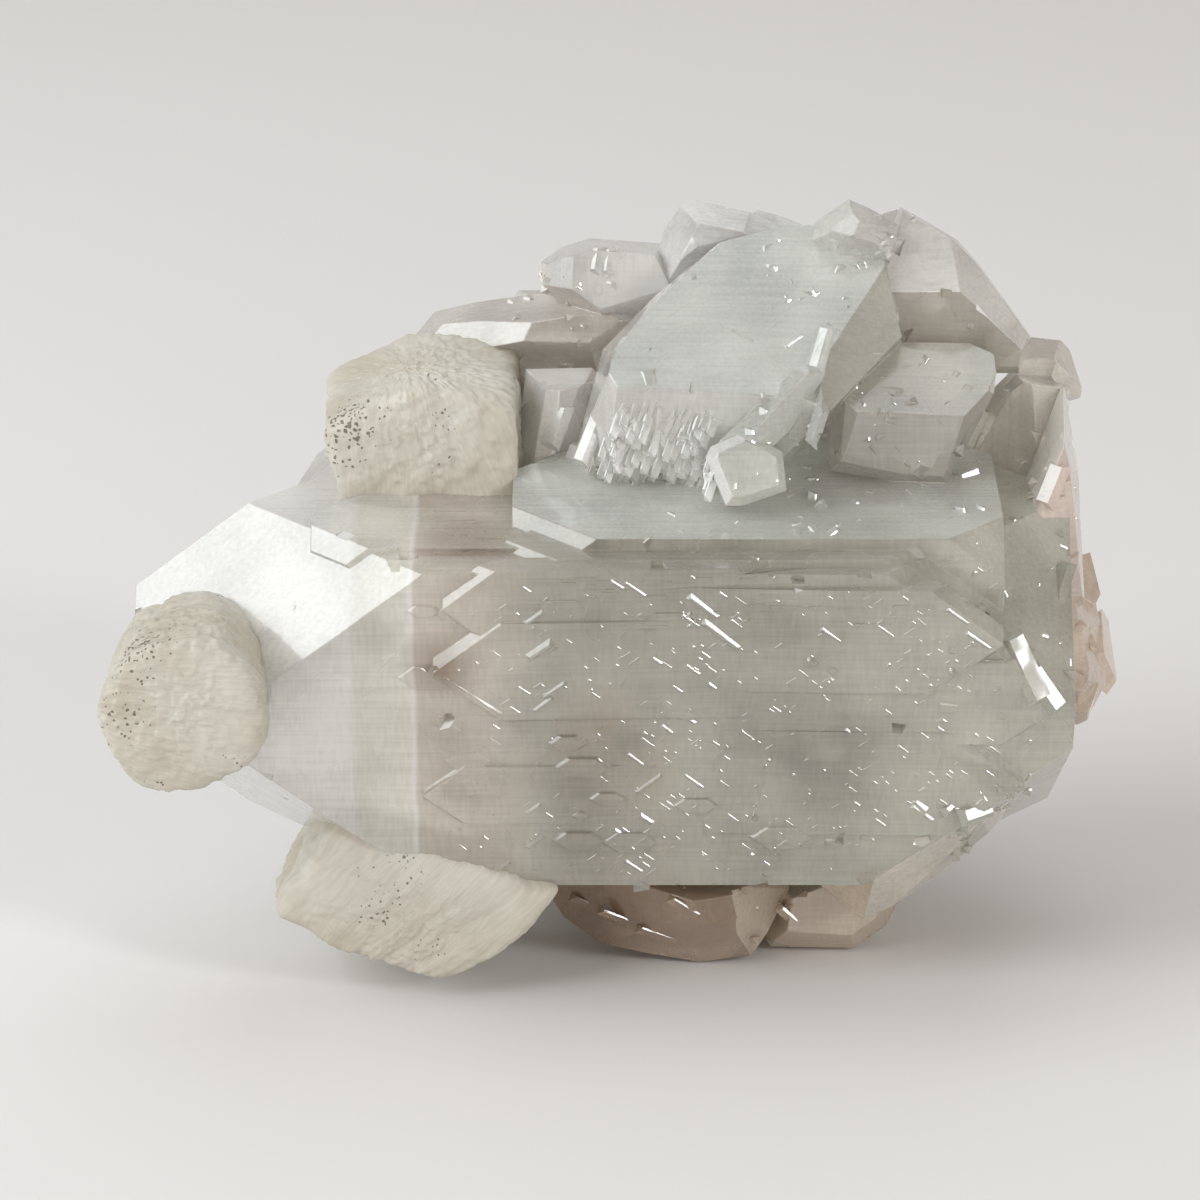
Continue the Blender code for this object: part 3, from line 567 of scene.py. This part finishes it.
shader.inputs["Coat IOR"].default_value = APOPHYLLITE_IOR
shader.inputs["Coat Roughness"].default_value = 0.05
absorb = tree.nodes.new("ShaderNodeVolumeAbsorption")
absorb.inputs["Color"].default_value = (0.82, 0.80, 0.70, 1.0)
absorb.inputs["Density"].default_value = 9.0
tree.links.new(absorb.outputs["Volume"], tree.nodes["Material Output"].inputs["Volume"])
crystals.data.materials.clear()
crystals.data.materials.append(clear)
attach(crystals, "root")
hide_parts("apophyllite_cluster")

# The three stilbite sheaves: bundles of thin waxy plates, cream to pale green, grown on the crystals.
# The plates end in ragged rims, and dark specks sit in clusters between them.


def faces_round(*sides):
    """Unit face normals and face distances, from (x, y, z, distance) entries."""
    sides = np.array(sides, float)
    return unit(sides[:, :3]), sides[:, 3]


def lattice_noise(points, seed):
    """Smooth noise from -1 to 1: random numbers on whole-number places, eased between the eight nearest."""
    table = np.random.default_rng(seed).uniform(-1, 1, 4096)
    cell = np.floor(points).astype(int)
    ease = points - cell
    ease = ease * ease * (3 - 2 * ease)
    total = 0.0
    for corner in np.ndindex(2, 2, 2):
        place = cell + corner
        mixed = table[(place[..., 0] * 157 + place[..., 1] * 1031 + place[..., 2] * 2749) % len(table)]
        total = total + mixed * np.where(corner, ease, 1 - ease).prod(axis=-1)
    return total


def sheaf(name, axis, normals, distances, sharpness, plates, seed, columns=300, rows=150):
    """A rounded bundle of plates, a function of the turn about its axis and the angle from it.

    The radius is the high power mean that rounds the solid between all its faces, times a slow noise and a
    wave for each plate. Fine rims are ridged noise drawn out across the plates. The result is set in the
    box of the node that it stands for.
    """
    polar, turn = np.meshgrid(
        math.pi * np.arange(1, rows) / rows, 2 * math.pi * np.arange(columns) / columns, indexing="ij"
    )
    along = unit(np.array(axis, float))
    second = unit(np.cross(along, (0.3, -1.0, 0.2)))
    first = np.cross(second, along)
    way = np.concatenate([
        along[None],
        (
            np.cos(polar)[..., None] * along
            + (np.sin(polar) * np.cos(turn))[..., None] * first
            + (np.sin(polar) * np.sin(turn))[..., None] * second
        ).reshape(-1, 3),
        -along[None],
    ])
    polar = np.concatenate([[0.0], polar.ravel(), [math.pi]])
    turn = np.concatenate([[0.0], turn.ravel(), [0.0]])
    form = (np.maximum(way @ normals.T / distances, 0.0) ** sharpness).sum(axis=1) ** (-1 / sharpness)
    bend = 2 * lattice_noise(way * 1.5, seed)
    wave = abs(np.sin(turn * plates / 2 + bend)) * np.sin(polar)
    slow = 0.03 * lattice_noise(way * 2.2, seed + 10) + 0.02 * lattice_noise(way * 6, seed + 20)

    def drawn_out(around, down):
        """Places round the axis, where noise is finer round it than along it."""
        return np.column_stack([np.cos(turn) * around + bend, np.sin(turn) * around + bend, polar * down])

    rims = 1 - abs(lattice_noise(drawn_out(13, 1.5), seed + 30))
    crumbs = lattice_noise(way * 16, seed + 40) + 0.6 * lattice_noise(way * 38, seed + 50)
    radius = form * (0.95 + slow + 0.045 * wave) + 0.22 * rims * np.sin(polar) + 0.12 * crumbs
    points = way * radius[:, None]
    low, high = (np.array(corner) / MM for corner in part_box(name))
    points = low + (points - points.min(axis=0)) / np.ptp(points, axis=0) * (high - low)
    column = np.arange(columns)
    after = (column + 1) % columns
    start = 1 + columns * np.arange(rows - 2)[:, None]
    band = np.stack(
        [start + column, start + columns + column, start + columns + after, start + after], axis=-1
    )
    last = len(points) - 1
    first_ring, last_ring = 1, last - columns
    made = mesh_piece(
        name + "_sheaf", points,
        band.reshape(-1, 4).tolist()
        + np.column_stack([0 * column, first_ring + column, first_ring + after]).tolist()
        + np.column_stack([last + 0 * column, last_ring + after, last_ring + column]).tolist(),
    )
    along_plates = made.data.attributes.new("plates", "FLOAT_VECTOR", "POINT")
    along_plates.data.foreach_set("vector", drawn_out(40, 5).ravel())
    return made


# Each sheaf's axis, the power of its mean, its number of plates, and its faces.
SHEAVES = {
    "stilbite_left": ((-1, -0.2, 0.1), 9, 9, faces_round(
        (-0.1, 0, 1, 5.9), (0.75, 0, 0.66, 6.2), (1, 0, 0, 6.3), (-1, 0, 0, 6.2), (-0.7, 0, 0.7, 6.0),
        (-0.75, 0, -0.66, 6.2), (0, 0, -1, 6.0), (0.6, 0, -0.8, 6.0), (0, -1, 0.1, 5.4), (0, 1, 0, 6.5),
    )),
    "stilbite_upper": ((-0.25, -0.15, 1), 14, 8, faces_round(
        (1, 0, 0.05, 7.4), (-0.97, 0, -0.24, 7.2), (-0.41, -0.1, 0.9, 5.0), (0.2, -0.1, 0.97, 5.2),
        (0, 0, -1, 6.5), (0, -1, 0.1, 6.0), (0, 1, 0, 6.4),
    )),
    "stilbite_lower": ((-0.55, -0.1, -0.8), 14, 12, faces_round(
        (-0.6, -0.1, -0.8, 5.6), (-0.35, -0.3, -0.9, 5.7), (0.55, -0.1, -0.83, 7.0), (0.85, 0, -0.52, 7.7),
        (-0.92, 0, 0.39, 9.9), (0.4, 0, 0.9, 9.0), (0, -1, 0.1, 5.4), (0, 1, 0, 6.5),
    )),
}
cream = bpy.data.materials.new("stilbite_cream")
cream.use_nodes = True
tree = cream.node_tree
shader = tree.nodes["Principled BSDF"]
tone = grain(tree, (130, 130, 130), 2.0)
body = ramp(tree, tone, [
    (0.3, (0.51, 0.47, 0.385)), (0.5, (0.585, 0.555, 0.48)), (0.72, (0.65, 0.63, 0.58)),
])
lines = node(tree, "TexNoise", {
    "Vector": node(tree, "Attribute", {}, attribute_name="plates")["Vector"], "Scale": 1.0, "Detail": 1.0,
})["Fac"]
body = node(
    tree, "VectorMath", {0: body, "Scale": spread(tree, lines, 0.3, 0.7, 0.93, 1.05)}, operation="SCALE"
)["Vector"]
place = node(tree, "TexCoord", {})["Object"]
cell = node(tree, "TexVoronoi", {"Vector": place, "Scale": 2300.0, "Randomness": 1.0})["Distance"]
size = spread(tree, grain(tree, (260, 260, 260), 1.0), 0.58, 0.72, 0.0, 0.3)
# Where the dark specks crowd: each place in the frame, and how far it reaches.
SPECKED = (
    (-34.5, -21.5, 29.5, 4.0), (-35.5, -22.0, 25.0, 3.5), (-20.2, -8.0, 42.5, 4.0), (-15.0, -13.0, 2.0, 4.0),
)
SPECK_BROWN = (0.10, 0.085, 0.045, 1.0)
for x, y, z, reach in SPECKED:
    apart = node(tree, "VectorMath", {0: place, 1: (x * MM, y * MM, z * MM)}, operation="DISTANCE")["Value"]
    close = spread(tree, apart, 0.2 * reach * MM, reach * MM, 0.55, 0.0)
    size = node(tree, "Math", {0: size, 1: close}, operation="MAXIMUM")["Value"]
ragged = spread(tree, grain(tree, (4200, 4200, 4200), 0.0), 0.3, 0.7, 0.15, 1.2)
speck = node(tree, "Math", {0: cell, 1: times(tree, size, ragged)}, operation="LESS_THAN")["Value"]
body = node(
    tree, "MixRGB", {"Fac": times(tree, speck, 0.8), "Color1": body, "Color2": SPECK_BROWN}
)["Color"]
tree.links.new(body, shader.inputs["Base Color"])
waxy = spread(tree, grain(tree, (700, 700, 700), 0.0), 0.3, 0.7, 0.35, 0.6)
tree.links.new(waxy, shader.inputs["Roughness"])
relief = grain(tree, (1800, 1800, 1800), 1.0)
bump = node(tree, "Bump", {"Height": relief, "Strength": 0.4, "Distance": 0.1 * MM})["Normal"]
tree.links.new(bump, shader.inputs["Normal"])
for seed, (name, (axis, sharpness, plates, (normals, distances))) in enumerate(SHEAVES.items(), 1):
    bundle = sheaf(name, axis, normals, distances, sharpness, plates, seed)
    bundle.data.polygons.foreach_set("use_smooth", [True] * len(bundle.data.polygons))
    bundle.data.materials.append(cream)
    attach(bundle, "root")
    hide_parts(name)

# The floor and backdrop: one sheet of pale matt board. It lies flat under the specimen, curves up behind it
# with the radius BEND, and stands upright to TOP.
HALF_WIDTH, FRONT, FOLD, BEND, TOP = 1600.0, -900.0, 500.0, 400.0, 1400.0
turn = np.linspace(0, math.pi / 2, 16)
curve = np.column_stack([FOLD + BEND * np.sin(turn), BEND - BEND * np.cos(turn)])
profile = np.concatenate([[(FRONT, 0.0)], curve, [(FOLD + BEND, TOP)]])
edges = [np.column_stack([np.full(len(profile), x), profile]) for x in (-HALF_WIDTH, HALF_WIDTH)]
step = np.arange(len(profile) - 1)
count = len(profile)
floor = mesh_piece(
    "floor", np.concatenate(edges),
    np.column_stack([step, step + count, step + count + 1, step + 1]).tolist(),
)
floor.data.polygons.foreach_set("use_smooth", [True] * len(floor.data.polygons))
pale = bpy.data.materials.new("floor_pale")
pale.use_nodes = True
shader = pale.node_tree.nodes["Principled BSDF"]
shader.inputs["Base Color"].default_value = (0.80, 0.785, 0.785, 1.0)
shader.inputs["Roughness"].default_value = 0.9
shader.inputs["Specular IOR Level"].default_value = 0.1
floor.data.materials.append(pale)

# Soft studio light: a window-like light at the left, a small one at the right, a wide one overhead, a warm
# one low in front, and a pale room all round. All but the overhead one face the specimen's middle.
AIM = (0, 0, 0.03)


def soft_light(name, place, target, size, power, colour):
    """A rectangular light at a place, in metres, that faces a target."""
    lamp = bpy.data.lights.new(name, "AREA")
    lamp.shape = "RECTANGLE"
    lamp.size, lamp.size_y = size
    lamp.energy = power
    lamp.color = colour
    made = bpy.data.objects.new(name, lamp)
    bpy.context.scene.collection.objects.link(made)
    made.location = place
    made.rotation_euler = (Vector(target) - Vector(place)).to_track_quat("-Z", "Y").to_euler()


soft_light("window", WINDOW_LIGHT, AIM, (0.56, 0.56), 3.85, (0.93, 0.98, 1.0))
soft_light("side", SIDE_LIGHT, AIM, (0.12, 0.24), 1.5, (0.98, 0.99, 1.0))
soft_light("ceiling", (0.0, 0.3, 0.8), (0, 0, 0), (0.8, 0.8), 2.2, (0.90, 0.97, 1.0))
soft_light("front", (0.1, -0.9, 0.16), AIM, (0.6, 0.3), 1.5, (1.0, 0.96, 0.90))
world = bpy.data.worlds.new("pale_room")
world.use_nodes = True
world.node_tree.nodes["Background"].inputs["Color"].default_value = (1.0, 0.86, 0.73, 1.0)
world.node_tree.nodes["Background"].inputs["Strength"].default_value = 0.28
bpy.context.scene.world = world
bpy.context.scene.view_settings.view_transform = "Standard"

# The camera looks along +Y from 20 degrees above level, 300 mm from the specimen's middle. Its lens, in
# millimetres on a sensor 36 mm wide, lets the specimen fill most of the picture's width.
camera = bpy.data.objects.new("camera", bpy.data.cameras.new("camera"))
bpy.context.scene.collection.objects.link(camera)
camera.data.lens = 119.22
camera.data.sensor_width = 36.0
camera.data.clip_start = 0.01
camera.location = Vector(VIEWED_FROM * MM)
camera.rotation_euler = (math.pi / 2 - LOOK_DOWN, 0.0, 0.0)
bpy.context.scene.camera = camera
